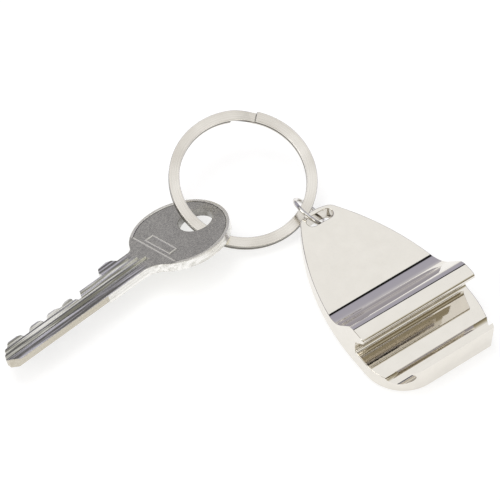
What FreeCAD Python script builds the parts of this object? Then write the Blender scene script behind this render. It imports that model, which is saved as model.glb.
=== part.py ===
import FreeCAD, Part
import math
import os
import Sketcher

# Keychain bottle opener: a cast opener plate, a round-wire jump ring, a two-turn flat split ring
# and a key.  Millimetres.  The origin is on the opener's back face, on the plate's centre line
# and 3.5 mm in from its ring end; +Z is out of the front, +Y runs to the ring end and the
# crown-cap claw is at -Y.

DIMS = [
    # opener plate and outline
    ("plateThick", 4.0), ("halfWidth", 15.65), ("clawEndY", 47.9), ("ringEndY", 3.5),
    ("endRadius", 11.0), ("endCorner", 2.5), ("endHalf", 3.742),
    ("widestAt", "=clawEndY - 13.9"),
    ("sideRise", "=widestAt + ringEndY"), ("sideDrop", "=halfWidth - endHalf"),
    ("sideRadius", "=(sideRise * sideRise + sideDrop * sideDrop) / (2 * sideDrop)"),
    ("roundCorner", 10.0), ("sharpSideRadius", 28.0), ("sharpCorner", 0.5),
    ("holeY", 0.9), ("holeLong", 7.0), ("holeShort", 2.9),
    # claw profile, placed from the claw end and raised from the plate's front
    ("riseStart", "=clawEndY - 26.1"), ("riseRadius", 7.5), ("riseAngle", 50.0),
    ("crestRadius", 3.0), ("hookHeight", "=plateThick + 7.3"), ("noseReach", "=clawEndY - 11.7"),
    ("noseRadius", 0.9), ("noseSlope", 42.0), ("throatAt", "=clawEndY - 14.5"),
    ("throatRadius", 1.7), ("floorRadius", 1.1), ("grooveRadius", 2.4), ("grooveDip", 1.2),
    ("lipInner", "=clawEndY - 0.6"), ("lipHeight", "=plateThick + 3"),
    ("lipOuter", "=clawEndY - 0.35"), ("lipFoot", 0.06), ("backRound", 0.35),
    ("frontRound", 0.2),
    # split ring
    ("splitOuter", 17.5), ("bandWidth", 2.5), ("splitInner", "=splitOuter - bandWidth"),
    ("wireThick", 0.95), ("coilGap", 0.04), ("crossAngle", 22.0),
    # jump ring, wide enough to go round the plate's edge
    ("jumpRadius", "=plateThick / 2 + 2.5"), ("jumpWire", 0.5), ("jumpSeam", 2.0),
    # key
    ("keyThick", 2.2), ("headRadius", 12.0), ("keyHoleRadius", 4.1), ("keyHoleAt", 4.9),
    ("bladeBack", 4.15), ("bladeCut", 3.4), ("bladeLength", 51.5), ("neckTop", 4.5),
    ("neckBackRadius", 5.0), ("neckCutRadius", 1.8), ("stopStart", 15.3), ("stopEnd", 20.7),
    ("stopHeight", 6.5), ("faceDepth", 0.15), ("borderWidth", 0.7),
    ("neckLine", 7.5), ("labelNear", 4.35), ("labelFar", 6.85), ("labelHalf", 4.7),
    ("labelRim", 0.35), ("grooveDepth", 0.5), ("grooveTaper", 35.0), ("ledgeStart", 24.5),
    ("ledgeInset", 0.8), ("ledgeHeight", 1.2),
    # key cuts: distance from the head centre, depth from the cut edge, half length at the edge
    ("cut1At", 28.8), ("cut1Depth", 2.2), ("cut1Half", 1.5),
    ("cut2At", 33.3), ("cut2Depth", 0.6), ("cut2Half", 1.6),
    ("cut3At", 38.0), ("cut3Depth", 0.9), ("cut3Half", 1.5),
    ("cut4At", 43.4), ("cut4Depth", 1.0), ("cut4Half", 2.1),
    # milled grooves in the key's face: start and the two sides across the blade
    ("groove1Start", 10.4), ("groove1Low", 0.3), ("groove1High", 1.6),
    ("groove2Start", 11.7), ("groove2Low", -1.3), ("groove2High", -0.2),
    ("groove3Start", 13.2), ("groove3Low", -2.9), ("groove3High", -1.9),
    # resting poses: centre, lean from upright, heading of the lean, turn about the part's own axis;
    # the split ring's rim passes the jump ring's centre, and the key hangs on the band
    ("jumpX", -0.08), ("jumpY", "=jumpRadius + 0.15"), ("jumpZ", "=plateThick / 2 - 0.1"), ("jumpLean", 50.0),
    ("jumpHeading", 2.1), ("jumpTurn", 0.0),
    ("splitReach", "=splitOuter + 0.05"), ("splitX", "=jumpX - splitReach * 0.4803"),
    ("splitY", "=jumpY + splitReach * 0.861"), ("splitZ", "=plateThick - 2.1 + splitReach * 0.1661"),
    ("splitLean", 15.6), ("splitHeading", -103.4), ("splitTurn", -124.0),
    ("keyReach", "=splitOuter - 1.46"), ("keyX", "=splitX - keyReach * 0.9719 - 4.856"),
    ("keyY", "=splitY - keyReach * 0.206 - 0.655"), ("keyZ", "=splitZ - keyReach * 0.1139 + 0.052"),
    ("keyLean", 21.75), ("keyHeading", 96.15), ("keyTurn", -172.2),
]

CUTS = 4
GROOVES = 3

doc = FreeCAD.newDocument("KeychainOpener")
sheet = doc.addObject("Spreadsheet::Sheet", "Dims")
for row, (alias, value) in enumerate(DIMS, start=1):
    sheet.set("A%d" % row, alias)
    sheet.set("B%d" % row, str(value))
    sheet.setAlias("B%d" % row, alias)
doc.recompute()


def dim(alias):
    return float(sheet.get(alias))


def originOf(body, role):
    return [f for f in body.Origin.OriginFeatures if f.Role == role][0]


def newSketch(body, name, plane, lift=None):
    sketch = body.newObject("Sketcher::SketchObject", name)
    sketch.AttachmentSupport = [(originOf(body, plane), "")]
    sketch.MapMode = "FlatFace"
    if lift:
        sketch.setExpression("AttachmentOffset.Base.z", lift)
    return sketch


def addLine(sketch, a, b):
    ends = [FreeCAD.Vector(p[0], p[1], 0) for p in (a, b)]
    return sketch.addGeometry(Part.LineSegment(*ends), False)


def addArc(sketch, centre, radius, first, last):
    circle = Part.Circle(FreeCAD.Vector(centre[0], centre[1], 0), FreeCAD.Vector(0, 0, 1), radius)
    return sketch.addGeometry(Part.ArcOfCircle(circle, math.radians(first), math.radians(last)), False)


def onCircle(centre, radius, angle):
    a = math.radians(angle)
    return (centre[0] + radius * math.cos(a), centre[1] + radius * math.sin(a))


def angleTo(a, b):
    return math.degrees(math.atan2(b[1] - a[1], b[0] - a[0]))


def join(sketch, first, firstEnd, second, secondEnd, smooth=False):
    kind = "Tangent" if smooth else "Coincident"
    sketch.addConstraint(Sketcher.Constraint(kind, first, firstEnd, second, secondEnd))


def bind(sketch, kind, args, expression):
    index = sketch.addConstraint(Sketcher.Constraint(kind, *args))
    name = "size%d" % index
    sketch.renameConstraint(index, name)
    sketch.setExpression("Constraints." + name, expression)


def measured(sketch, kind, args, value, expression):
    """Adds a dimension with its present value and ties it to the sheet."""
    bind(sketch, kind, tuple(args) + (value,), expression)


def addFeature(body, kind, name, sketch, length, **settings):
    feature = body.newObject("PartDesign::" + kind, name)
    feature.Profile = sketch
    sketch.Visibility = False
    for key, value in settings.items():
        setattr(feature, key, value)
    if length:
        feature.setExpression("Length", length)
    doc.recompute()
    return feature


def pin(sketch, geo, point, axis, value, expression):
    """Ties one coordinate of a point, given as a positive distance from the origin."""
    kind = "Distance" + axis
    ends = (-1, 1, geo, point) if value > 0 else (geo, point, -1, 1)
    measured(sketch, kind, ends, abs(value), expression)


def radius(sketch, geo, alias):
    measured(sketch, "Radius", (geo,), dim(alias), "Dims." + alias)


def sheetCheck(sketch):
    if sketch.solve() != 0:
        raise RuntimeError("sketch %s does not solve" % sketch.Name)


def endCornerCentre():
    """Centre of the round that joins the ring end to a side, on the +X half."""
    low = (0, dim("ringEndY") - dim("endRadius"))
    side = (dim("halfWidth") - dim("sideRadius"), -dim("widestAt"))
    fromLow = dim("endRadius") - dim("endCorner")
    fromSide = dim("sideRadius") - dim("endCorner")
    gap = math.dist(low, side)
    along = (fromLow ** 2 - fromSide ** 2 + gap ** 2) / (2 * gap)
    off = math.sqrt(fromLow ** 2 - along ** 2)
    ux, uy = (side[0] - low[0]) / gap, (side[1] - low[1]) / gap
    options = [(low[0] + along * ux - s * off * uy, low[1] + along * uy + s * off * ux) for s in (-1, 1)]
    return max(options, key=lambda point: point[1])


def drawOutline(sketch):
    """Plan outline: sail shape, square at the +X claw corner and round at the -X one."""
    half, widest = dim("halfWidth"), dim("widestAt")
    low = (0, dim("ringEndY") - dim("endRadius"))
    side = (half - dim("sideRadius"), -widest)
    corner = endCornerCentre()
    capTurn, sideTurn = angleTo(low, corner), angleTo(side, corner)
    end = -dim("clawEndY")
    lower = (half - dim("sharpSideRadius"), -widest)
    sharpY = end + dim("sharpCorner")
    reach = dim("sharpSideRadius") - dim("sharpCorner")
    sharp = (lower[0] + math.sqrt(reach ** 2 - (sharpY - lower[1]) ** 2), sharpY)
    sharpTurn = angleTo(lower, sharp)
    big = dim("roundCorner")
    flat = (big - half, end)
    leftTop, leftLow = (-half, -widest), (-half, end + big)
    arc = addArc
    cap = arc(sketch, low, dim("endRadius"), capTurn, 180 - capTurn)
    cornerR = arc(sketch, corner, dim("endCorner"), sideTurn, capTurn)
    sideR = arc(sketch, side, dim("sideRadius"), 0, sideTurn)
    lowR = arc(sketch, lower, dim("sharpSideRadius"), sharpTurn, 0)
    sharpR = arc(sketch, sharp, dim("sharpCorner"), 270, 360 + sharpTurn)
    bottom = addLine(sketch, (sharp[0], end), flat)
    roundL = arc(sketch, (flat[0], end + big), big, 180, 270)
    wall = addLine(sketch, leftLow, leftTop)
    sideL = arc(sketch, (-side[0], side[1]), dim("sideRadius"), 180 - sideTurn, 180)
    cornerL = arc(sketch, (-corner[0], corner[1]), dim("endCorner"), 180 - capTurn, 180 - sideTurn)
    chain = [(cap, 1, cornerR, 2), (cornerR, 1, sideR, 2), (sideR, 1, lowR, 2), (lowR, 1, sharpR, 2),
             (sharpR, 1, bottom, 1), (bottom, 2, roundL, 2), (roundL, 1, wall, 1), (wall, 2, sideL, 2),
             (sideL, 1, cornerL, 2), (cornerL, 1, cap, 2)]
    for first, firstEnd, second, secondEnd in chain:
        join(sketch, first, firstEnd, second, secondEnd, smooth=True)
    for geo, alias in [(cap, "endRadius"), (cornerR, "endCorner"), (cornerL, "endCorner"),
                       (sideR, "sideRadius"), (sideL, "sideRadius"), (lowR, "sharpSideRadius"),
                       (sharpR, "sharpCorner"), (roundL, "roundCorner")]:
        radius(sketch, geo, alias)
    sketch.addConstraint(Sketcher.Constraint("PointOnObject", cap, 3, -2))
    pin(sketch, cap, 3, "Y", low[1], "Dims.endRadius - Dims.ringEndY")
    pin(sketch, sideR, 1, "X", half, "Dims.halfWidth")
    pin(sketch, sideR, 1, "Y", -widest, "Dims.widestAt")
    pin(sketch, sideR, 3, "Y", -widest, "Dims.widestAt")
    pin(sketch, bottom, 1, "Y", end, "Dims.clawEndY")
    sketch.addConstraint(Sketcher.Constraint("Horizontal", bottom))
    sketch.addConstraint(Sketcher.Constraint("Vertical", wall))
    pin(sketch, wall, 2, "X", -half, "Dims.halfWidth")
    pin(sketch, wall, 2, "Y", -widest, "Dims.widestAt")
    sheetCheck(sketch)


def drawFrame(sketch, margin):
    """Rectangle outside the plate, so that a pocket leaves only the outline."""
    x, top, low = dim("halfWidth") + margin, dim("ringEndY") + margin, -dim("clawEndY") - margin
    corners = [(-x, low), (x, low), (x, top), (-x, top)]
    lines = [addLine(sketch, corners[i - 1], corners[i]) for i in range(4)]
    for i in range(4):
        join(sketch, lines[i - 1], 2, lines[i], 1)
        sketch.addConstraint(Sketcher.Constraint("Vertical" if i in (0, 2) else "Horizontal", lines[i]))
    extra = " + %g" % margin
    pin(sketch, lines[0], 1, "X", -x, "Dims.halfWidth" + extra)
    pin(sketch, lines[2], 1, "X", x, "Dims.halfWidth" + extra)
    pin(sketch, lines[0], 1, "Y", top, "Dims.ringEndY" + extra)
    pin(sketch, lines[1], 1, "Y", low, "Dims.clawEndY" + extra)


def profilePoints():
    """Side profile of the claw as (y, z), with the centres of its arcs."""
    p = {}
    thick, top, lip = dim("plateThick"), dim("hookHeight"), dim("lipHeight")
    p["rise"] = (-dim("riseStart"), thick + dim("riseRadius"))
    p["slopeLow"] = onCircle(p["rise"], dim("riseRadius"), 270 - dim("riseAngle"))
    slope = math.radians(dim("riseAngle"))
    crestZ = top - dim("crestRadius")
    slopeTopZ = crestZ + dim("crestRadius") * math.cos(slope)
    run = (slopeTopZ - p["slopeLow"][1]) / math.tan(slope)
    p["slopeTop"] = (p["slopeLow"][0] - run, slopeTopZ)
    p["crest"] = (p["slopeTop"][0] - dim("crestRadius") * math.sin(slope), crestZ)
    p["nose"] = (-dim("noseReach") + dim("noseRadius"), top - dim("noseRadius"))
    under = 270 - dim("noseSlope")
    p["noseLow"] = onCircle(p["nose"], dim("noseRadius"), under)
    throatX = -dim("throatAt") - dim("throatRadius")
    bend = math.radians(90 - dim("noseSlope"))
    arcTopY = throatX + dim("throatRadius") * math.cos(bend)
    drop = (arcTopY - p["noseLow"][0]) * math.tan(math.radians(dim("noseSlope")))
    p["throatTop"] = (arcTopY, p["noseLow"][1] - drop)
    p["throat"] = (throatX, p["throatTop"][1] - dim("throatRadius") * math.sin(bend))
    p["wallTop"] = (-dim("throatAt"), p["throat"][1])
    p["floorArc"] = (-dim("throatAt") - dim("floorRadius"), thick + dim("floorRadius"))
    p["groove"] = (-dim("lipInner") + dim("grooveRadius"),
                   thick - dim("grooveDip") + dim("grooveRadius"))
    p["grooveIn"] = (thick - p["groove"][1]) / dim("grooveRadius")
    p["grooveOut"] = (lip - p["groove"][1]) / dim("grooveRadius")
    return p


def drawProfile(sketch):
    """Plate, rising hump with a hook that opens towards the lip, groove and lip."""
    p, thick = profilePoints(), dim("plateThick")
    back, out = dim("ringEndY") + 2, -dim("clawEndY") - 2
    foot, lip = -dim("clawEndY") - dim("lipFoot"), dim("lipHeight")
    dip = math.degrees(math.asin(p["grooveIn"]))
    climb = 180 - math.degrees(math.asin(p["grooveOut"]))
    grooveStart = onCircle(p["groove"], dim("grooveRadius"), dip)
    lipTip = onCircle(p["groove"], dim("grooveRadius"), climb)
    riseEnd = (p["rise"][0], thick)
    wallLow = (p["wallTop"][0], p["floorArc"][1])
    floorStart = (p["floorArc"][0], thick)
    crestTop, noseTop = (p["crest"][0], dim("hookHeight")), (p["nose"][0], dim("hookHeight"))
    base = addLine(sketch, (out, 0), (back, 0))
    tail = addLine(sketch, (back, 0), (back, thick))
    plate = addLine(sketch, (back, thick), riseEnd)
    rise = addArc(sketch, p["rise"], dim("riseRadius"), 270 - dim("riseAngle"), 270)
    slope = addLine(sketch, p["slopeLow"], p["slopeTop"])
    crest = addArc(sketch, p["crest"], dim("crestRadius"), 90 - dim("riseAngle"), 90)
    crown = addLine(sketch, crestTop, noseTop)
    nose = addArc(sketch, p["nose"], dim("noseRadius"), 90, 270 - dim("noseSlope"))
    under = addLine(sketch, p["noseLow"], p["throatTop"])
    throat = addArc(sketch, p["throat"], dim("throatRadius"), 0, 90 - dim("noseSlope"))
    wall = addLine(sketch, p["wallTop"], wallLow)
    floorArc = addArc(sketch, p["floorArc"], dim("floorRadius"), 270, 360)
    floor = addLine(sketch, floorStart, grooveStart)
    groove = addArc(sketch, p["groove"], dim("grooveRadius"), climb, 360 + dip)
    lipTop = addLine(sketch, lipTip, (-dim("lipOuter"), lip))
    lean = addLine(sketch, (-dim("lipOuter"), lip), (foot, thick))
    shelf = addLine(sketch, (foot, thick), (out, thick))
    close = addLine(sketch, (out, thick), (out, 0))
    square = [(base, 2, tail, 1), (tail, 2, plate, 1), (floor, 2, groove, 2), (groove, 1, lipTop, 1),
              (lipTop, 2, lean, 1), (lean, 2, shelf, 1), (shelf, 2, close, 1), (close, 2, base, 1)]
    smooth = [(plate, 2, rise, 2), (rise, 1, slope, 1), (slope, 2, crest, 1), (crest, 2, crown, 1),
              (crown, 2, nose, 1), (nose, 2, under, 1), (under, 2, throat, 2), (throat, 1, wall, 1),
              (wall, 2, floorArc, 2), (floorArc, 1, floor, 1)]
    for joined in square:
        join(sketch, *joined)
    for joined in smooth:
        join(sketch, *joined, smooth=True)
    for line in (base, plate, crown, floor, shelf, lipTop):
        sketch.addConstraint(Sketcher.Constraint("Horizontal", line))
    for line in (tail, wall, close):
        sketch.addConstraint(Sketcher.Constraint("Vertical", line))
    for geo, alias in [(rise, "riseRadius"), (crest, "crestRadius"), (nose, "noseRadius"),
                       (throat, "throatRadius"), (floorArc, "floorRadius"), (groove, "grooveRadius")]:
        radius(sketch, geo, alias)
    sketch.addConstraint(Sketcher.Constraint("PointOnObject", base, 1, -1))
    for geo, point, value, expression in [(base, 2, back, "Dims.ringEndY + 2"),
                                          (base, 1, out, "Dims.clawEndY + 2"),
                                          (rise, 2, riseEnd[0], "Dims.riseStart"),
                                          (nose, 3, p["nose"][0], "Dims.noseReach - Dims.noseRadius"),
                                          (wall, 1, p["wallTop"][0], "Dims.throatAt"),
                                          (groove, 3, p["groove"][0], "Dims.lipInner - Dims.grooveRadius"),
                                          (lipTop, 2, -dim("lipOuter"), "Dims.lipOuter"),
                                          (lean, 2, foot, "Dims.clawEndY + Dims.lipFoot")]:
        pin(sketch, geo, point, "X", value, expression)
    for geo, point, value, expression in [(plate, 1, thick, "Dims.plateThick"),
                                          (crown, 1, dim("hookHeight"), "Dims.hookHeight"),
                                          (floor, 1, thick, "Dims.plateThick"),
                                          (shelf, 1, thick, "Dims.plateThick"),
                                          (lipTop, 1, lip, "Dims.lipHeight"),
                                          (groove, 3, p["groove"][1],
                                           "Dims.plateThick - Dims.grooveDip + Dims.grooveRadius")]:
        pin(sketch, geo, point, "Y", value, expression)
    pin(sketch, rise, 1, "X", p["slopeLow"][0],
        "Dims.riseStart + Dims.riseRadius * sin(Dims.riseAngle * 1 deg)")
    pin(sketch, nose, 2, "X", p["noseLow"][0],
        "Dims.noseReach - Dims.noseRadius * (1 - sin(Dims.noseSlope * 1 deg))")
    sheetCheck(sketch)


def newBody(label):
    body = doc.addObject("PartDesign::Body", label)
    body.Label = label
    return body


def posed(name):
    """Placement of a linked piece from its resting pose in the sheet."""
    heading = dim(name + "Heading")
    turn = FreeCAD.Rotation(FreeCAD.Vector(0, 0, 1), dim(name + "Turn") - heading)
    lean = FreeCAD.Rotation(FreeCAD.Vector(0, 1, 0), dim(name + "Lean"))
    head = FreeCAD.Rotation(FreeCAD.Vector(0, 0, 1), heading)
    centre = FreeCAD.Vector(dim(name + "X"), dim(name + "Y"), dim(name + "Z"))
    return FreeCAD.Placement(centre, head.multiply(lean).multiply(turn))


def edgesAlong(feature, test):
    """Names of the edges whose every sample point passes the test."""
    names = []
    for index, edge in enumerate(feature.Shape.Edges, start=1):
        if all(test(p) for p in edge.discretize(5)):
            names.append("Edge%d" % index)
    return names


def rounded(body, feature, name, edges, size):
    fillet = body.newObject("PartDesign::Fillet", name)
    fillet.Base = (feature, edges)
    fillet.setExpression("Radius", size)
    doc.recompute()
    return fillet


def buildOpener():
    body = newBody("opener_body")
    profile = newSketch(body, "ClawProfile", "YZ_Plane")
    drawProfile(profile)
    addFeature(body, "Pad", "ClawPad", profile, "Dims.halfWidth * 2 + 8", SideType="Symmetric")
    outline = newSketch(body, "PlanOutline", "XY_Plane")
    drawFrame(outline, 6)
    drawOutline(outline)
    addFeature(body, "Pocket", "OutlineCut", outline, "Dims.hookHeight * 4", SideType="Symmetric")
    slot = newSketch(body, "RingHole", "XY_Plane")
    drawSlot(slot)
    last = addFeature(body, "Pocket", "RingHoleCut", slot, "Dims.plateThick * 4", SideType="Symmetric")
    base = edgesAlong(last, lambda p: abs(p.z) < 1e-4)
    last = rounded(body, last, "BackRound", base, "Dims.backRound")
    top = dim("plateThick")
    rim = edgesAlong(last, lambda p: abs(p.z - top) < 1e-4 and p.y > -dim("riseStart") + 0.1)
    rounded(body, last, "FrontRound", rim, "Dims.frontRound")
    return body


def drawSlot(sketch):
    """Oval hole for the jump ring, long way across the plate."""
    half, r = (dim("holeLong") - dim("holeShort")) / 2, dim("holeShort") / 2
    y = dim("holeY")
    right = addArc(sketch, (half, y), r, -90, 90)
    left = addArc(sketch, (-half, y), r, 90, 270)
    top = addLine(sketch, (half, y + r), (-half, y + r))
    low = addLine(sketch, (-half, y - r), (half, y - r))
    for joined in [(right, 2, top, 1), (top, 2, left, 1), (left, 2, low, 1), (low, 2, right, 1)]:
        join(sketch, *joined, smooth=True)
    sketch.addConstraint(Sketcher.Constraint("Equal", right, left))
    measured(sketch, "Radius", (right,), r, "Dims.holeShort / 2")
    for geo, x in ((right, half), (left, -half)):
        pin(sketch, geo, 3, "X", x, "(Dims.holeLong - Dims.holeShort) / 2")
    pin(sketch, right, 3, "Y", y, "Dims.holeY")
    sketch.addConstraint(Sketcher.Constraint("Horizontal", top))
    sheetCheck(sketch)


def drawRect(sketch, x0, x1, y0, y1, expressions):
    """Rectangle whose four sides are tied to the sheet, in the order x0, x1, y0, y1."""
    corners = [(x0, y0), (x1, y0), (x1, y1), (x0, y1)]
    lines = [addLine(sketch, corners[i], corners[(i + 1) % 4]) for i in range(4)]
    for i in range(4):
        join(sketch, lines[i], 2, lines[(i + 1) % 4], 1)
        sketch.addConstraint(Sketcher.Constraint("Horizontal" if i in (0, 2) else "Vertical", lines[i]))
    pin(sketch, lines[0], 1, "X", x0, expressions[0])
    pin(sketch, lines[1], 1, "X", x1, expressions[1])
    pin(sketch, lines[0], 1, "Y", y0, expressions[2])
    pin(sketch, lines[2], 1, "Y", y1, expressions[3])
    sheetCheck(sketch)


def drawCrossover(sketch):
    """Side view of the wire where the upper coil dives under its own end, as (y, z)."""
    thick, gap = dim("wireThick"), dim("coilGap") / 2
    reach = dim("splitOuter") * math.sin(math.radians(dim("crossAngle") / 2)) + 1
    slope = 0.8 * dim("splitInner") * math.sin(math.radians(dim("crossAngle") / 2))
    points = [(-reach, gap), (-slope, gap), (slope, -gap - thick), (reach, -gap - thick),
              (reach, -gap), (slope, -gap), (-slope, gap + thick), (-reach, gap + thick)]
    lines = [addLine(sketch, points[i - 1], points[i]) for i in range(len(points))]
    for i in range(len(lines)):
        join(sketch, lines[i - 1], 2, lines[i], 1)
    half = " * sin(Dims.crossAngle / 2 * 1 deg)"
    reachSize = "Dims.splitOuter" + half + " + 1"
    slopeSize = "0.8 * Dims.splitInner" + half
    gapSize, farSize = "Dims.coilGap / 2", "Dims.coilGap / 2 + Dims.wireThick"
    for i, (x, y) in enumerate(points):
        pin(sketch, lines[i], 2, "X", x, reachSize if abs(x) == reach else slopeSize)
        pin(sketch, lines[i], 2, "Y", y, gapSize if abs(y) == gap else farSize)
    sheetCheck(sketch)


def drawSectorFrame(sketch):
    """Everything round the ring except the sector that holds the crossover, at -X."""
    half, out = dim("crossAngle") / 2, dim("splitOuter") + 3
    drawRect(sketch, -out, out, -out, out, ["Dims.splitOuter + 3"] * 4)
    outer = addArc(sketch, (0, 0), dim("splitOuter"), 180 - half, 180 + half)
    inner = addArc(sketch, (0, 0), dim("splitInner"), 180 - half, 180 + half)
    sides = []
    for angle in (180 - half, 180 + half):
        ends = [onCircle((0, 0), dim(name), angle) for name in ("splitInner", "splitOuter")]
        sides.append(addLine(sketch, *ends))
    for side, point in zip(sides, (1, 2)):
        join(sketch, side, 1, inner, point)
        join(sketch, side, 2, outer, point)
    for arc, alias in ((outer, "splitOuter"), (inner, "splitInner")):
        join(sketch, arc, 3, -1, 1)
        radius(sketch, arc, alias)
    sine = " * sin(Dims.crossAngle / 2 * 1 deg)"
    for point, sign in ((1, 1), (2, -1)):
        for arc, alias in ((outer, "splitOuter"), (inner, "splitInner")):
            y = sign * dim(alias) * math.sin(math.radians(half))
            pin(sketch, arc, point, "Y", y, "Dims." + alias + sine)
    sheetCheck(sketch)


def buildSplitRing():
    body = newBody("split_ring")
    side = newSketch(body, "CrossoverSide", "YZ_Plane")
    drawCrossover(side)
    addFeature(body, "Pad", "CrossoverPad", side, "Dims.splitOuter * 2 + 4", SideType="Symmetric")
    trim = newSketch(body, "CrossoverSector", "XY_Plane")
    drawSectorFrame(trim)
    addFeature(body, "Pocket", "CrossoverTrim", trim, "Dims.wireThick * 8", SideType="Symmetric")
    gap, thick = dim("coilGap") / 2, dim("wireThick")
    for name, low, high in (("Upper", gap, gap + thick), ("Lower", -gap - thick, -gap)):
        coil = newSketch(body, name + "Wire", "XZ_Plane")
        near, far = "Dims.coilGap / 2", "Dims.coilGap / 2 + Dims.wireThick"
        heights = [near, far] if low > 0 else [far, near]
        drawRect(coil, dim("splitInner"), dim("splitOuter"), low, high,
                 ["Dims.splitInner", "Dims.splitOuter"] + heights)
        turn = body.newObject("PartDesign::Revolution", name + "Coil")
        turn.Profile = coil
        turn.ReferenceAxis = (coil, ["V_Axis"])
        turn.Midplane = True
        turn.setExpression("Angle", "360 - Dims.crossAngle")
        doc.recompute()
    body.Placement = posed("split")
    return body


def buildJumpRing():
    ring = doc.addObject("Part::Torus", "jump_ring")
    ring.Label = "jump_ring"
    ring.setExpression("Radius1", "Dims.jumpRadius")
    ring.setExpression("Radius2", "Dims.jumpWire")
    ring.setExpression("Angle3", "360 - Dims.jumpSeam")
    ring.Placement = posed("jump")
    return ring


def away(alias, extra=0.0, side=1):
    """A coordinate at a sheet size plus an offset, on one side of the origin, with its expression."""
    return (side * (dim(alias) + extra), "Dims.%s + %g" % (alias, extra))


def keyPoints():
    """Points of the stop, cut edge and tip, each as an x and a y with their expressions."""
    edge = away("bladeCut", side=-1)
    points = [(away("stopStart"), away("neckTop", side=-1)),
              (away("stopStart", 0.7), away("stopHeight", -0.7, -1)),
              (away("stopStart", 1.9), away("stopHeight", side=-1)),
              (away("stopEnd", -0.9), away("stopHeight", -0.4, -1)),
              (away("stopEnd"), away("bladeCut", 1.2, -1)),
              (away("stopEnd"), edge)]
    for number in range(1, CUTS + 1):
        at, half = "cut%dAt" % number, dim("cut%dHalf" % number)
        depth = away("bladeCut", -dim("cut%dDepth" % number), -1)
        points += [(away(at, -half), edge), (away(at, -0.25 * half), depth),
                   (away(at, 0.25 * half), depth), (away(at, half), edge)]
    points += [(away("bladeLength", -3.6), edge),
               (away("bladeLength", -1.4), away("bladeCut", -1.9, -1)),
               (away("bladeLength"), away("bladeBack", -3.5)),
               (away("bladeLength"), away("bladeBack", -2.2)),
               (away("bladeLength", -2.2), away("bladeBack"))]
    return points


def drawKey(sketch):
    """Round head, filleted neck, stop, cut edge, tip and straight back."""
    head, rb, rc = dim("headRadius"), dim("neckBackRadius"), dim("neckCutRadius")
    back, neck = dim("bladeBack"), -dim("neckTop")
    backArc = (math.sqrt((head + rb) ** 2 - (back + rb) ** 2), back + rb)
    cutArc = (math.sqrt((head + rc) ** 2 - (neck - rc) ** 2), neck - rc)
    backTurn, cutTurn = angleTo((0, 0), backArc), angleTo((0, 0), cutArc)
    points = keyPoints()
    corners = [(x[0], y[0]) for x, y in points]
    chain = [(cutArc[0], neck)] + corners + [(backArc[0], back)]
    bow = addArc(sketch, (0, 0), head, backTurn, 360 + cutTurn)
    backFillet = addArc(sketch, backArc, rb, 180 + backTurn, 270)
    cutFillet = addArc(sketch, cutArc, rc, 90, 180 + cutTurn)
    lines = [addLine(sketch, chain[i], chain[i + 1]) for i in range(len(chain) - 1)]
    join(sketch, bow, 1, backFillet, 1, smooth=True)
    join(sketch, bow, 2, cutFillet, 2, smooth=True)
    join(sketch, cutFillet, 1, lines[0], 1, smooth=True)
    join(sketch, lines[-1], 2, backFillet, 2, smooth=True)
    for first, second in zip(lines, lines[1:]):
        join(sketch, first, 2, second, 1)
    join(sketch, bow, 3, -1, 1)
    for geo, alias in ((bow, "headRadius"), (backFillet, "neckBackRadius"), (cutFillet, "neckCutRadius")):
        radius(sketch, geo, alias)
    for line, (x, y) in zip(lines, points):
        pin(sketch, line, 2, "X", *x)
        pin(sketch, line, 2, "Y", *y)
    sketch.addConstraint(Sketcher.Constraint("Horizontal", lines[0]))
    sketch.addConstraint(Sketcher.Constraint("Horizontal", lines[-1]))
    sheetCheck(sketch)


def pocketed(body, name, draw, length, reverse=False, lift=None, symmetric=False):
    """A pocket cut from a sketch parallel to the key's middle plane."""
    sketch = newSketch(body, name + "Sketch", "XY_Plane", lift)
    draw(sketch)
    side = "Symmetric" if symmetric else "One side"
    return addFeature(body, "Pocket", name, sketch, length, SideType=side, Reversed=reverse)


def drawHole(sketch):
    circle = Part.Circle(FreeCAD.Vector(-dim("keyHoleAt"), 0, 0), FreeCAD.Vector(0, 0, 1),
                         dim("keyHoleRadius"))
    hole = sketch.addGeometry(circle, False)
    radius(sketch, hole, "keyHoleRadius")
    pin(sketch, hole, 3, "X", -dim("keyHoleAt"), "Dims.keyHoleAt")
    sketch.addConstraint(Sketcher.Constraint("PointOnObject", hole, 3, -1))
    sheetCheck(sketch)


def drawFace(sketch):
    """Sunk face of the head: a circle inside the rim, closed by a straight line at the neck, round
    the raised land of the hole and a plain raised frame."""
    r, line = dim("headRadius") - dim("borderWidth"), dim("neckLine")
    turn = math.degrees(math.acos(line / r))
    arc = addArc(sketch, (0, 0), r, turn, 360 - turn)
    chord = addLine(sketch, onCircle((0, 0), r, -turn), onCircle((0, 0), r, turn))
    join(sketch, arc, 2, chord, 1)
    join(sketch, arc, 1, chord, 2)
    join(sketch, arc, 3, -1, 1)
    measured(sketch, "Radius", (arc,), r, "Dims.headRadius - Dims.borderWidth")
    sketch.addConstraint(Sketcher.Constraint("Vertical", chord))
    pin(sketch, chord, 1, "X", line, "Dims.neckLine")
    near, far, half, rim = dim("labelNear"), dim("labelFar"), dim("labelHalf"), dim("labelRim")
    drawRect(sketch, near, far, -half, half, ["Dims.labelNear", "Dims.labelFar"] + ["Dims.labelHalf"] * 2)
    inner = ["Dims.labelNear + Dims.labelRim", "Dims.labelFar - Dims.labelRim"]
    inner += ["Dims.labelHalf - Dims.labelRim"] * 2
    drawRect(sketch, near + rim, far - rim, rim - half, half - rim, inner)


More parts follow.
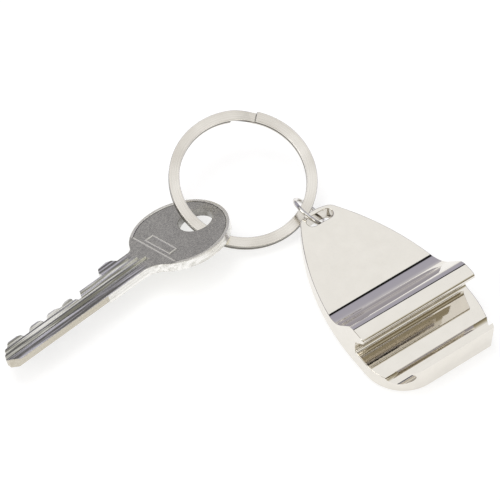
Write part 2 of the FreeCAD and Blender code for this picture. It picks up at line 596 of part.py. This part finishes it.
def drawGroove(number):
    """Long milled groove of the blade, open at the tip."""
    def draw(sketch):
        start, low, high = (dim("groove%d%s" % (number, name)) for name in ("Start", "Low", "High"))
        far = dim("bladeLength") + 2
        names = ["Dims.groove%dStart" % number, "Dims.bladeLength + 2",
                 "Dims.groove%dLow" % number, "Dims.groove%dHigh" % number]
        if low < 0:
            names[2] = "-" + names[2]
        if high < 0:
            names[3] = "-" + names[3]
        drawRect(sketch, start, far, low, high, names)
    return draw


def drawLedge(sketch):
    inset, out = dim("bladeBack") - dim("ledgeInset"), dim("bladeBack") + 2
    drawRect(sketch, dim("ledgeStart"), dim("bladeLength") + 2, inset, out,
             ["Dims.ledgeStart", "Dims.bladeLength + 2", "Dims.bladeBack - Dims.ledgeInset",
              "Dims.bladeBack + 2"])


def buildKey():
    body = newBody("key")
    blank = newSketch(body, "KeyBlank", "XY_Plane")
    drawKey(blank)
    addFeature(body, "Pad", "KeyPad", blank, "Dims.keyThick", SideType="Symmetric")
    pocketed(body, "RingHoleCut", drawHole, "Dims.keyThick * 3", symmetric=True)
    top, depth = "Dims.keyThick / 2", "Dims.faceDepth"
    pocketed(body, "FrontFace", drawFace, depth, lift=top)
    pocketed(body, "BackFace", drawFace, depth, reverse=True, lift="-" + top)
    for number in range(1, GROOVES + 1):
        groove = pocketed(body, "Groove%d" % number, drawGroove(number), "Dims.grooveDepth", lift=top)
        groove.setExpression("TaperAngle", "-Dims.grooveTaper")
    pocketed(body, "BackLedge", drawLedge, "Dims.ledgeHeight", reverse=True, lift="-" + top)
    body.Placement = posed("key")
    return body


def finish(parts):
    doc.recompute()
    for item in doc.Objects:
        if "Invalid" in item.State or "Error" in item.State:
            raise RuntimeError("%s did not recompute" % item.Name)
    os.makedirs("parts", exist_ok=True)
    for part in parts:
        if part.Shape.isNull() or not part.Shape.isValid() or len(part.Shape.Solids) != 1:
            raise RuntimeError("%s is not one valid solid" % part.Label)
        part.Shape.exportStep("parts/%s.step" % part.Label)


finish([buildOpener(), buildJumpRing(), buildSplitRing(), buildKey()])
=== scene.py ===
import math

import bpy
from mathutils import Matrix, Vector


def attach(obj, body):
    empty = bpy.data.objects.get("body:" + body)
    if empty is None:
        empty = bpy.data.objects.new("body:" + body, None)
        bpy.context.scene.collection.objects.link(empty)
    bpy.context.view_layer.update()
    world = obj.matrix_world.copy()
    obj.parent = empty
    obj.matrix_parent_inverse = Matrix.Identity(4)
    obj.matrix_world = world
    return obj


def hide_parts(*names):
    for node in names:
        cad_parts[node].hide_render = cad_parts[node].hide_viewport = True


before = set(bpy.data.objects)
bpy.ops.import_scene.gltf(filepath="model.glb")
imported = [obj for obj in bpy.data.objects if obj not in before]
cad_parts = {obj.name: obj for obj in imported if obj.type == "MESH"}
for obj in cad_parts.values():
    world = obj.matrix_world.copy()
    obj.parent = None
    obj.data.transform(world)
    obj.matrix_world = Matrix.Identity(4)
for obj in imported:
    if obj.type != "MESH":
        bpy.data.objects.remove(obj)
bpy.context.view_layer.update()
print("frame loaded:", sorted(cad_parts))

view = {
    "eye": (-0.1764, -0.2231, 0.3819),
    "tilt": 36.07,
    "turn": -34.97,
    "lens": 147.1,
    "sensor": 36,
    "nearest": 0.01,
}

studio = {
    "floorSize": 3.0,
    "floorSlope": -1.9,          # the jump ring props up the ring end of the plate
    "floorPivot": (0, -0.0479, -0.0001),
    "floorColour": (0.42, 0.42, 0.42, 1),
    "floorRough": 0.9,
    "floorGlow": 0.66,           # a lit table, so that shadows stay faint
    "floorLight": (1, 1, 1, 1),
    "aim": (-0.02, 0.0, 0.0),
    # a lamp that isn't mirrored lights the metal but leaves no white patch in its polish
    "lights": {
        "topLight": {"at": (-0.10, 0.30, 0.85), "size": 0.42, "power": 1.5, "mirrored": False},
        "sideLight": {"at": (-0.75, 0.10, 0.55), "size": 0.45, "power": 1.3, "mirrored": True},
        "lowLight": {"at": (0.15, -0.85, 0.45), "size": 0.35, "power": 0.7, "mirrored": True},
    },
}

# what the bright metal mirrors, by height above the horizon (0 level, 1 overhead)
surround = {
    "strength": 1.02,
    "far": [(0.0, (0.62, 0.61, 0.66, 1)), (0.25, (0.46, 0.45, 0.53, 1)), (0.66, (0.44, 0.43, 0.52, 1)),
            (0.69, (0.01, 0.01, 0.01, 1)), (0.765, (0.01, 0.01, 0.01, 1)), (0.775, (1, 1, 1, 1))],
    "near": [(0.0, (0.10, 0.08, 0.05, 1)), (0.35, (0.30, 0.26, 0.17, 1)), (0.60, (0.58, 0.54, 0.44, 1)),
             (0.80, (1, 1, 1, 1))],
    "farWay": (0.574, 0.819, 0),
    "farBlend": 0.25,
    "lens": (0.02, 0.02, 0.02, 1),   # the dark lens that polished metal mirrors
    "lensSpot": 6.0,                 # its half angle in degrees
    "lensSoft": (0.002, 0.001),
}


def deselectAll():
    if bpy.context.object and bpy.context.object.mode != "OBJECT":
        bpy.ops.object.mode_set(mode="OBJECT")
    bpy.ops.object.select_all(action="DESELECT")


def pick(piece):
    deselectAll()
    piece.select_set(True)
    bpy.context.view_layer.objects.active = piece


class Wire:
    # a socket that can be used in sums, so shader maths reads as maths
    def __init__(self, paint, socket):
        self.paint = paint
        self.socket = socket

    def maths(self, kind, *others, swap=False):
        inputs = [self] + list(others)
        if swap:
            inputs.reverse()
        return self.paint.node("ShaderNodeMath", {"operation": kind}, *inputs)

    def __add__(self, other):
        return self.maths("ADD", other)

    __radd__ = __add__

    def __sub__(self, other):
        return self.maths("SUBTRACT", other)

    def __rsub__(self, other):
        return self.maths("SUBTRACT", other, swap=True)

    def __mul__(self, other):
        return self.maths("MULTIPLY", other)

    __rmul__ = __mul__

    def __gt__(self, other):
        return self.maths("GREATER_THAN", other)

    def __lt__(self, other):
        return self.maths("LESS_THAN", other)

    def absolute(self):
        return self.maths("ABSOLUTE")

    def root(self):
        return self.maths("SQRT")

    def larger(self, other):
        return self.maths("MAXIMUM", other)


class Paint:
    # the nodes of a material or of the world; node() sets a node's settings first and then its inputs
    def __init__(self, owner, coordinates="Object"):
        owner.use_nodes = True
        self.material = owner
        self.tree = owner.node_tree
        self.shader = self.tree.nodes.get("Principled BSDF") or self.tree.nodes.get("Background")
        self.place = self.node("ShaderNodeTexCoord", {}, output=coordinates)

    def node(self, kind, settings, *values, output=0, **named):
        made = self.tree.nodes.new(kind)
        for setting, value in settings.items():
            if setting == "stops":
                self.ramp(made.color_ramp, value)
            else:
                setattr(made, setting, value)
        for index, value in list(enumerate(values)) + list(named.items()):
            self.feed(made.inputs[index], value)
        return Wire(self, made.outputs[output])

    def feed(self, socket, value):
        if isinstance(value, Wire):
            self.tree.links.new(value.socket, socket)
        elif value is not None:
            socket.default_value = value

    def ramp(self, ramp, stops):
        while len(ramp.elements) < len(stops):
            ramp.elements.new(0.5)
        for element, (at, colour) in zip(ramp.elements, stops):
            element.position = at
            element.color = colour

    def surface(self, inputs):
        for name, value in inputs.items():
            self.feed(self.shader.inputs[name], value)

    def noise(self, where, scale, detail=2.0, rough=0.5):
        return self.node("ShaderNodeTexNoise", {}, Vector=where, Scale=scale, Detail=detail,
                         Roughness=rough)

    def mix(self, factor, a, b):
        made = self.node("ShaderNodeMix", {"data_type": "RGBA"}, output=2)
        sockets = made.socket.node.inputs
        for index, value in ((0, factor), (6, a), (7, b)):   # 6 and 7 are the colour inputs
            self.feed(sockets[index], value)
        return made

    def spread(self, value, low, high, newLow=0.0, newHigh=1.0):
        return self.node("ShaderNodeMapRange", {"clamp": True}, value, low, high, newLow, newHigh)

    def dot(self, a, b):
        return self.node("ShaderNodeVectorMath", {"operation": "DOT_PRODUCT"}, a, b, output="Value")

    def part(self, vector, axis):
        return self.node("ShaderNodeSeparateXYZ", {}, vector, output=axis)

    def shades(self, value, stops):
        return self.node("ShaderNodeValToRGB", {"stops": stops}, value)

    def bump(self, height, depth, strength=1.0, under=None):
        return self.node("ShaderNodeBump", {}, Strength=strength, Distance=depth, Height=height,
                         Normal=under)

    def roundedEdges(self, radius, even=0.995, sharp=0.93):
        # normals rounded at the edges, and a mask that is 1 on the edges, where the painted highlight
        # goes
        soft = self.node("ShaderNodeBevel", {"samples": 16}, Radius=radius)
        own = self.node("ShaderNodeNewGeometry", {}, output="Normal")
        return soft, self.spread(self.dot(soft, own), even, sharp)

    def crevice(self, reach, closed=0.25, clear=0.85):
        # 1 deep in a gap or corner, 0 in the open: the mask for painted shade
        openness = self.node("ShaderNodeAmbientOcclusion", {"samples": 8, "only_local": True},
                             output="AO", Distance=reach)
        return 1 - self.spread(openness, closed, clear)

    def facing(self, direction):
        # how squarely a surface looks along a direction
        return self.dot(self.node("ShaderNodeTexCoord", {}, output="Normal"), direction).absolute()

    def flank(self, axis, across, along):
        # 1 on the walls that stand along an axis, 0 on the faces across it
        return self.spread(self.facing(axis), across, along)

    def seat(self, centre, turn):
        # object coordinates moved to a piece's own centre and squared up with it
        moved = self.node("ShaderNodeMapping", {"vector_type": "POINT"}, Vector=self.place,
                          Location=[-c for c in centre])
        return self.node("ShaderNodeMapping", {"vector_type": "TEXTURE"}, Vector=moved, Rotation=turn)


def addCamera():
    bpy.ops.object.camera_add(location=view["eye"],
                              rotation=(math.radians(view["tilt"]), 0, math.radians(view["turn"])))
    camera = bpy.context.object
    camera.data.lens = view["lens"]
    camera.data.sensor_width = view["sensor"]
    camera.data.clip_start = view["nearest"]
    bpy.context.scene.camera = camera


def addFloor():
    bpy.ops.mesh.primitive_plane_add(size=studio["floorSize"], location=studio["floorPivot"],
                                     rotation=(math.radians(studio["floorSlope"]), 0, 0))
    floor = bpy.context.object
    floor.name = "floor"
    paint = Paint(bpy.data.materials.new("paleFloor"))
    paint.surface({"Base Color": studio["floorColour"], "Roughness": studio["floorRough"],
                   "Emission Color": studio["floorLight"],
                   "Emission Strength": studio["floorGlow"]})
    floor.data.materials.append(paint.material)


def addLight(name, plan):
    bpy.ops.object.light_add(type="AREA", location=plan["at"])
    lamp = bpy.context.object
    lamp.name = name
    lamp.data.size = plan["size"]
    lamp.data.energy = plan["power"]
    lamp.visible_glossy = plan["mirrored"]
    aim = Vector(studio["aim"]) - Vector(plan["at"])
    lamp.rotation_euler = aim.to_track_quat("-Z", "Y").to_euler()


def addSurround():
    world = bpy.data.worlds.new("studio")
    bpy.context.scene.world = world
    paint = Paint(world, "Generated")
    height = paint.part(paint.place, "Z")
    blend = surround["farBlend"]
    far = paint.spread(paint.dot(paint.place, surround["farWay"]), -blend, blend)
    walls = paint.mix(far, paint.shades(height, surround["near"]),
                      paint.shades(height, surround["far"]))
    toLens = (Vector(view["eye"]) - Vector(studio["aim"])).normalized()
    edge = math.cos(math.radians(surround["lensSpot"]))
    before, after = surround["lensSoft"]
    spot = paint.spread(paint.dot(paint.place, toLens), edge - before, edge + after)
    paint.surface({"Color": paint.mix(spot, walls, surround["lens"]),
                   "Strength": surround["strength"]})


deselectAll()
bpy.context.scene.view_settings.view_transform = "Standard"
addCamera()
addFloor()
addSurround()
for lightName, plan in studio["lights"].items():
    addLight(lightName, plan)
print("camera, floor and light ready")


mesh = {
    "mergeWithin": 2e-6,
    "flatWithin": 0.4,       # degrees
    "roundSegments": 2,
}


def finishedCopy(node, name, plan, finish):
    # a copy of a CAD piece with its corners joined up, fine rounds on its edges and smooth shading
    piece = bpy.data.objects.new(name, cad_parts[node].data.copy())
    bpy.context.collection.objects.link(piece)
    pick(piece)
    bpy.ops.mesh.customdata_custom_splitnormals_clear()
    bpy.ops.object.mode_set(mode="EDIT")
    bpy.ops.mesh.select_all(action="SELECT")
    bpy.ops.mesh.remove_doubles(threshold=mesh["mergeWithin"])
    bpy.ops.mesh.dissolve_limited(angle_limit=math.radians(mesh["flatWithin"]))
    bpy.ops.object.mode_set(mode="OBJECT")
    if plan["edgeRound"]:
        rounding = piece.modifiers.new("edges", "BEVEL")
        rounding.width = plan["edgeRound"]
        rounding.segments = mesh["roundSegments"]
        rounding.limit_method = "ANGLE"
        rounding.angle_limit = math.radians(plan["edgeAngle"])
        rounding.use_clamp_overlap = False
        bpy.ops.object.modifier_apply(modifier="edges")
    bpy.ops.object.shade_smooth_by_angle(angle=math.radians(plan["smoothAngle"]))
    level = piece.modifiers.new("level", "WEIGHTED_NORMAL")
    level.keep_sharp = True
    bpy.ops.object.modifier_apply(modifier="level")
    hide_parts(node)
    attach(piece, plan["body"])
    piece.data.materials.clear()
    piece.data.materials.append(finish())
    print(name, "finished:", len(piece.data.polygons), "faces")


# in the values below a noise is its scale, detail and roughness, a pair is the two ends of a range,
# and reaches, radii and heights are in metres

# opener: cast plate with its claw, polished and nickel plated
opener = {
    "body": "opener", "slot": "polished_nickel",
    "edgeRound": 0, "smoothAngle": 28,       # the casting has its own rounds
    "pale": (0.80, 0.77, 0.715, 1),
    "dull": (0.765, 0.735, 0.68, 1),
    # painted shade in the corners and gaps
    "paintedShade": (0.16, 0.145, 0.12, 1),
    "paintedShadeReach": 0.0007, "paintedShadeOpen": (0.4, 0.75), "paintedShadeAmount": 0.7,
    "cloud": (260.0, 4.0, 0.6), "cloudSpread": (0.3, 0.7), "cloudHeight": 0.000005,
    "haze": (60.0, 2.0), "hazeSpread": (0.35, 0.7), "hazeRough": 0.03,
    "grain": (2600.0, 3.0), "grainRough": 0.01, "grainHeight": 0.000002,
    "polish": 0.022,
    "bumpStrength": 0.5,
}


def polishedNickel():
    paint = Paint(bpy.data.materials.new("polishedNickel"))
    cloud = paint.noise(paint.place, *opener["cloud"])
    haze = paint.noise(paint.place, *opener["haze"])
    grain = paint.noise(paint.place, *opener["grain"])
    tint = paint.mix(paint.spread(cloud, *opener["cloudSpread"]), opener["dull"], opener["pale"])
    # painted shade in the corners and gaps, from the crevice mask
    corner = paint.crevice(opener["paintedShadeReach"], *opener["paintedShadeOpen"]) * opener["paintedShadeAmount"]
    tint = paint.mix(corner, tint, opener["paintedShade"])
    rough = paint.spread(haze, *opener["hazeSpread"], opener["polish"],
                         opener["polish"] + opener["hazeRough"])
    rough = rough + grain * opener["grainRough"]
    wave = paint.bump(cloud, opener["cloudHeight"], opener["bumpStrength"])
    wave = paint.bump(grain, opener["grainHeight"], opener["bumpStrength"], wave)
    paint.surface({"Base Color": tint, "Metallic": 1.0, "Roughness": rough, "Normal": wave})
    return paint.material


finishedCopy("opener_body", "openerCasting", opener, polishedNickel)


# split ring: two turns of flat wire, brushed along its length
band = {
    "body": "split_ring", "slot": "ring_band",
    "edgeRound": 0.00018, "edgeAngle": 40, "smoothAngle": 35,
    "centre": (-0.00851, 0.01976, 0.004815),
    "axis": (-0.0623216, -0.2615987, 0.9631626),
    "pale": (0.83, 0.80, 0.745, 1),
    "dull": (0.62, 0.585, 0.53, 1),
    "bright": (0.88, 0.86, 0.83, 1),         # painted highlight on the edges
    "edgeRadius": 0.00016, "highlightAmount": 0.9,
    "shaded": (0.26, 0.25, 0.225, 1),        # the outer wall, beyond the middle of the band
    "middle": 0.01625, "shadeAmount": 0.7,
    "gap": (0.03, 0.027, 0.022, 1),          # painted shade between the turns, in crevices and on the cut ends
    "gapWidth": (0.00045, 0.00012), "gapReach": 0.0005, "gapRough": 0.3,
    "endTurn": 0.5, "endAmount": 0.9,
    "wall": (0.85, 0.55),
    "lineScale": 9000.0, "lineDetail": 3.0, "lineHeight": 0.000003,
    "patch": (110.0, 2.0), "patchSpread": (0.3, 0.7), "patchRough": (0.15, 0.22),
    "lineShare": 0.45, "tintSpread": (0.36, 0.62),
    "speck": (3000.0, 2.0), "speckRough": 0.04, "speckHeight": 0.000001,
    "bumpStrength": 0.5,
}


def satinBand():
    paint = Paint(bpy.data.materials.new("satinNickel"))
    turn = Vector((0, 0, 1)).rotation_difference(Vector(band["axis"])).to_euler()
    where = paint.seat(band["centre"], turn)
    x, y, z = [paint.part(where, letter) for letter in "XYZ"]
    out = (x * x + y * y).root()
    lines = paint.node("ShaderNodeTexNoise", {"noise_dimensions": "1D"}, W=out,
                       Scale=band["lineScale"], Detail=band["lineDetail"])
    patch = paint.noise(where, *band["patch"])
    speck = paint.noise(where, *band["speck"])
    soft, edge = paint.roundedEdges(band["edgeRadius"])
    wall = paint.flank(band["axis"], *band["wall"])
    outside = wall * (out > band["middle"])
    brushed = lines * band["lineShare"] + patch * (1 - band["lineShare"])
    tint = paint.mix(paint.spread(brushed, *band["tintSpread"]), band["dull"], band["pale"])
    tint = paint.mix(outside * band["shadeAmount"], tint, band["shaded"])
    # painted highlight on the edges
    tint = paint.mix(edge * band["highlightAmount"], tint, band["bright"])
    # painted shade between the turns, in crevices and on the cut ends
    between = paint.spread(z.absolute(), *band["gapWidth"]) * wall
    outward = paint.node("ShaderNodeVectorMath", {"operation": "SUBTRACT"}, paint.place,
                         band["centre"])
    outward = paint.node("ShaderNodeVectorMath", {"operation": "NORMALIZE"}, outward)
    cutEnd = (paint.facing(outward) < band["endTurn"]) * wall
    dark = between.larger(paint.crevice(band["gapReach"])).larger(cutEnd * band["endAmount"])
    tint = paint.mix(dark, tint, band["gap"])
    rough = paint.spread(patch, *band["patchSpread"], *band["patchRough"])
    rough = rough + speck * band["speckRough"] + dark * band["gapRough"]
    wave = paint.bump(speck, band["speckHeight"], band["bumpStrength"], soft)
    wave = paint.bump(lines, band["lineHeight"], band["bumpStrength"], wave)
    paint.surface({"Base Color": tint, "Metallic": 1.0, "Roughness": rough, "Normal": wave})
    return paint.material


finishedCopy("split_ring", "splitRingBand", band, satinBand)


# jump ring: one turn of round wire
link = {
    "body": "jump_ring", "slot": "ring_wire",
    "edgeRound": 0, "smoothAngle": 50,       # round wire has no edges
    "pale": (0.86, 0.845, 0.82, 1),
    "dull": (0.60, 0.585, 0.56, 1),
    "shadow": (0.06, 0.055, 0.05, 1),
    "shadowReach": 0.0016, "shadowOpen": (0.5, 0.9), "shadowAmount": 0.7,
    "patch": (700.0, 3.0), "patchSpread": (0.35, 0.65), "patchRough": 0.04,
    "fine": (4200.0, 2.0), "fineHeight": 0.000003,
    "polish": 0.02,
    "bumpStrength": 0.6,
}


def brightWire():
    paint = Paint(bpy.data.materials.new("brightWire"))
    patch = paint.noise(paint.place, *link["patch"])
    fine = paint.noise(paint.place, *link["fine"])
    tint = paint.mix(paint.spread(patch, *link["patchSpread"]), link["dull"], link["pale"])
    inside = paint.crevice(link["shadowReach"], *link["shadowOpen"]) * link["shadowAmount"]
    tint = paint.mix(inside, tint, link["shadow"])
    paint.surface({"Base Color": tint, "Metallic": 1.0,
                   "Roughness": patch * link["patchRough"] + link["polish"],
                   "Normal": paint.bump(fine, link["fineHeight"], link["bumpStrength"])})
    return paint.material


finishedCopy("jump_ring", "jumpRingWire", link, brightWire)


# key: stamped and milled, tumbled to a grainy satin
# lengths run from the middle of its head towards the tip of its blade
key = {
    "body": "key", "slot": "key_metal",
    "edgeRound": 0.00005, "edgeAngle": 35, "smoothAngle": 30,
    "centre": (-0.028955, 0.0158, 0.00304),
    "lean": 21.75, "heading": 96.15, "turn": -172.2,
    "pale": (0.66, 0.648, 0.545, 1),
    "dull": (0.40, 0.392, 0.33, 1),
    "bright": (0.93, 0.92, 0.895, 1),
    "milled": (0.17, 0.166, 0.14, 1),        # dark streaks along the blade
    "bladeFrom": (0.0115, 0.0155), "bladeAmount": 0.85,
    "side": (0.66, 0.65, 0.61, 1),
    "ledge": (0.50, 0.455, 0.36, 1),         # the walls past the ledge
    "ledgeFrom": 0.0245, "ledgeAmount": 0.8,
    "rim": (0.97, 0.95, 0.80, 1),            # the border and the frame, rubbed bright
    "sunkFace": 0.00101, "rimTo": 0.0079, "rimAmount": 0.9,
    # painted shade in the hole, along the border and in the corners
    "paintedShade": (0.05, 0.045, 0.035, 1),
    "paintedShadeReach": 0.0006, "paintedShadeOpen": (0.4, 0.8), "paintedShadeAmount": 0.85,
    "borderInside": 0.0113, "borderShadeWidth": 0.00022, "borderAmount": 0.75,
    "holeReach": 0.0105, "holeSpread": (0.3, 0.6), "holeAmount": (0.95, 0.6),
    "edgeRadius": 0.0002, "highlightAmount": 0.3,
    "wall": (0.50, 0.30),
    "patch": (260.0, 4.0, 0.6), "patchHeight": 0.00002, "patchStrength": 0.6,
    "roll": (95.0, 1.0), "rollHeight": 0.00022, "rollStrength": 0.5,
    "pits": (2300.0, 3.0, 0.7), "pitHeight": 0.000005, "pitStrength": 0.7,
    "pitSpread": (0.3, 0.7), "pitRough": (0.16, 0.34),
    "streak": (1500.0, 3.0, 0.55), "streakStretch": (0.03, 1, 1),
    "streakHeight": 0.00008, "streakStrength": 0.8,
    "pitShare": 0.8, "faceSpread": (0.36, 0.64),
    "streakSpread": (0.44, 0.58),
    "sideStreakShare": 0.7, "sideSpread": (0.40, 0.56),
}


def tumbledMetal():
    paint = Paint(bpy.data.materials.new("tumbledNickelSilver"))
    turns = ((key["heading"], "Z"), (key["lean"], "Y"), (key["turn"] - key["heading"], "Z"))
    first, second, third = [Matrix.Rotation(math.radians(angle), 3, axis) for angle, axis in turns]
    stance = first @ second @ third
    where = paint.seat(key["centre"], stance.to_euler())
    along, across, height = [paint.part(where, letter) for letter in "XYZ"]
    reach = (along * along + across * across).root()
    patch = paint.noise(where, *key["patch"])
    roll = paint.noise(where, *key["roll"])
    pits = paint.noise(where, *key["pits"])
    drawn = paint.node("ShaderNodeMapping", {}, Vector=where, Scale=key["streakStretch"])
    streak = paint.noise(drawn, *key["streak"])
    soft, edge = paint.roundedEdges(key["edgeRadius"])
    wall = paint.flank(tuple(stance.col[2]), *key["wall"])
    face = 1 - wall
    onHead = along < key["rimTo"]

    # faces: grainy on the head, streaked along the blade
    grainy = pits * key["pitShare"] + patch * (1 - key["pitShare"])
    tint = paint.mix(paint.spread(grainy, *key["faceSpread"]), key["dull"], key["pale"])
    milled = paint.mix(paint.spread(streak, *key["streakSpread"]), key["milled"], key["bright"])
    blade = paint.spread(along, *key["bladeFrom"])
    tint = paint.mix(blade * face * key["bladeAmount"], tint, milled)

    # walls: bright, browner past the ledge, painted shade in the hole
    ground = streak * key["sideStreakShare"] + pits * (1 - key["sideStreakShare"])
    sides = paint.mix(paint.spread(ground, *key["sideSpread"]), key["side"], key["bright"])
    sides = paint.mix((along > key["ledgeFrom"]) * key["ledgeAmount"], sides, key["ledge"])
    tint = paint.mix(wall, tint, sides)
    # painted shade inside the hole
    inHole = (reach < key["holeReach"]) * wall
    depth = paint.spread(patch, *key["holeSpread"], *key["holeAmount"])
    tint = paint.mix(inHole * depth, tint, key["paintedShade"])

    # border and frame, painted highlight on the edges, and painted shade along the border and in the
    # corners
    raised = (height.absolute() > key["sunkFace"]) * onHead * face
    tint = paint.mix(raised * key["rimAmount"], tint, key["rim"])
    tint = paint.mix(edge * key["highlightAmount"], tint, key["bright"])
    border = (reach > key["borderInside"] - key["borderShadeWidth"]) * (reach < key["borderInside"])
    tint = paint.mix(border * face * onHead * key["borderAmount"], tint, key["paintedShade"])
    corner = paint.crevice(key["paintedShadeReach"], *key["paintedShadeOpen"])
    tint = paint.mix(corner * face * key["paintedShadeAmount"], tint, key["paintedShade"])

    rough = paint.spread(pits, *key["pitSpread"], *key["pitRough"])
    wave = paint.bump(patch, key["patchHeight"], key["patchStrength"], soft)
    wave = paint.bump(roll, key["rollHeight"], key["rollStrength"], wave)
    wave = paint.bump(streak * blade, key["streakHeight"], key["streakStrength"], wave)
    wave = paint.bump(pits, key["pitHeight"], key["pitStrength"], wave)
    paint.surface({"Base Color": tint, "Metallic": 1.0, "Roughness": rough, "Normal": wave})
    return paint.material


finishedCopy("key", "houseKey", key, tumbledMetal)
print("pieces and materials ready")
